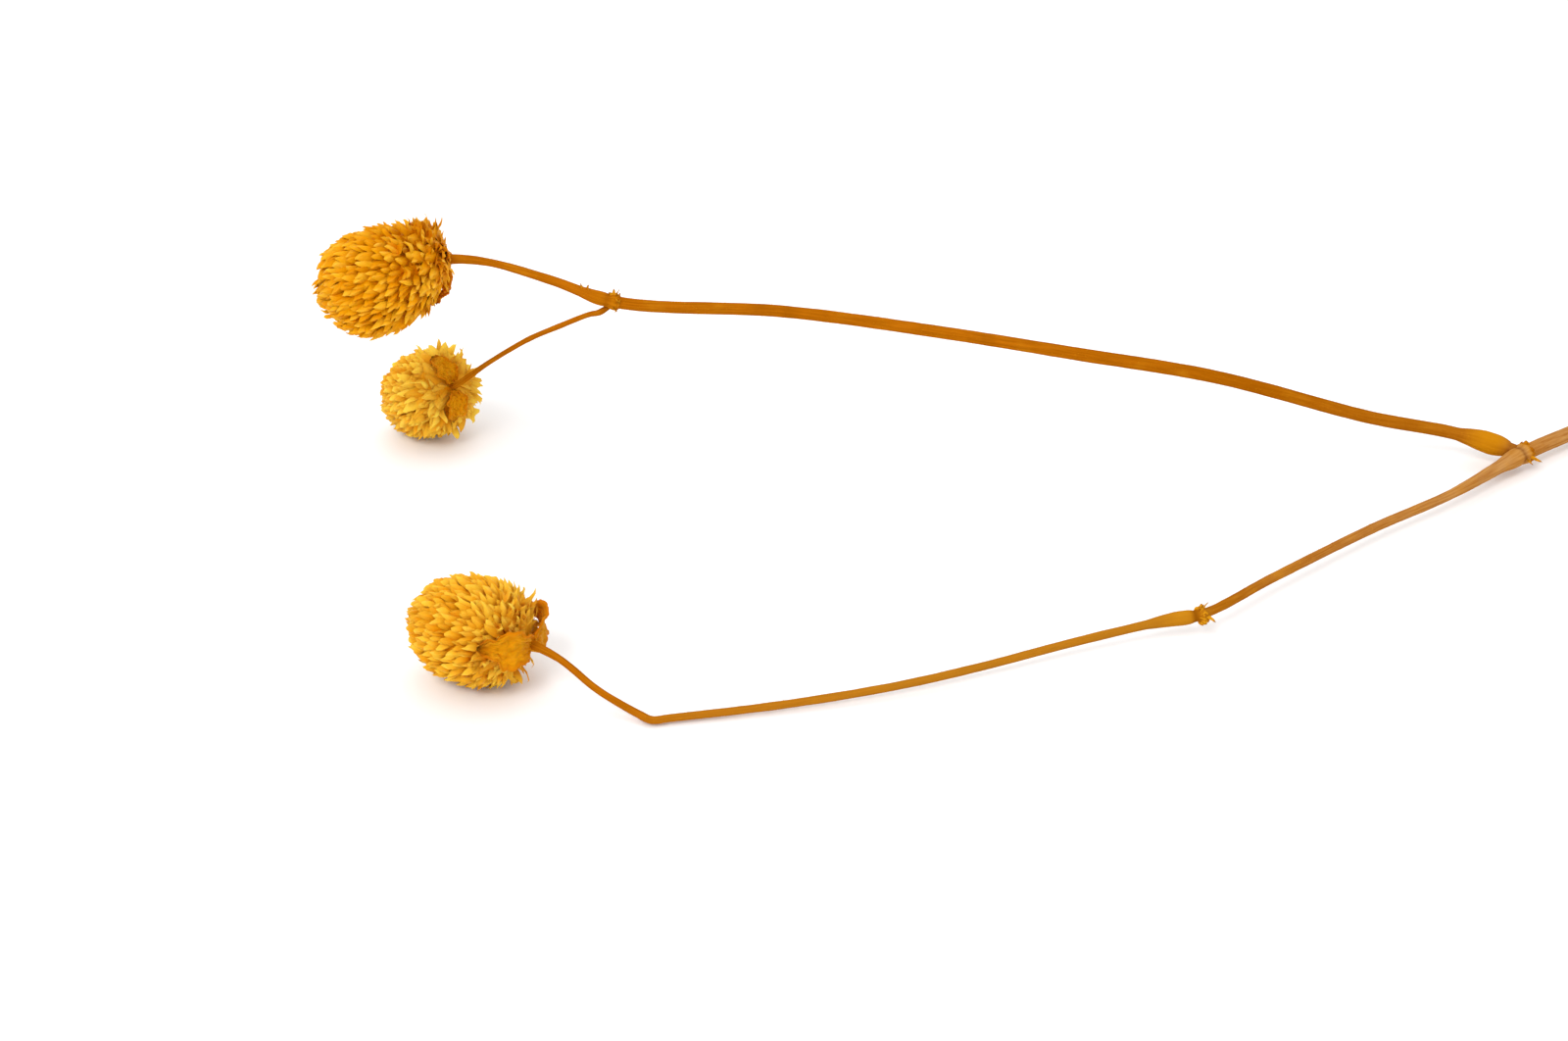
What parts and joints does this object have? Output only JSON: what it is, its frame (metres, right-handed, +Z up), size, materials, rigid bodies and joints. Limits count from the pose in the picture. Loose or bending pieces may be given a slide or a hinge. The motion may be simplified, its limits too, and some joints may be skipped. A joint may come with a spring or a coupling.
{
  "type": "preserved globe amaranth stem",
  "caption": "Forked dried flower stem lying down, with a ball-shaped papery head at each branch tip, small leafy bracts under the heads, swollen nodes and a plain cut end.",
  "frame": {"origin": "on the table surface, under the middle of the outline", "axes": "+X from the flower heads to the cut end of the stalk, +Y away from the viewer, +Z up"},
  "size_m": [0.3478, 0.1641, 0.0663],
  "materials": {
    "stem": "dry, finely ridged, matt",
    "scales": "papery, dyed golden yellow, slight sheen",
    "bract": "dry leaf, ochre, matt"
  },
  "bodies": {
    "root": {"stem": "stem", "head_terminal": "scales", "head_side": "scales", "head_lower": "scales", "bract_terminal_upper": "bract", "bract_terminal_lower": "bract", "bract_side_upper": "bract", "bract_side_lower": "bract", "bract_lower_front": "bract", "bract_lower_back": "bract"}
  },
  "joints": []
}
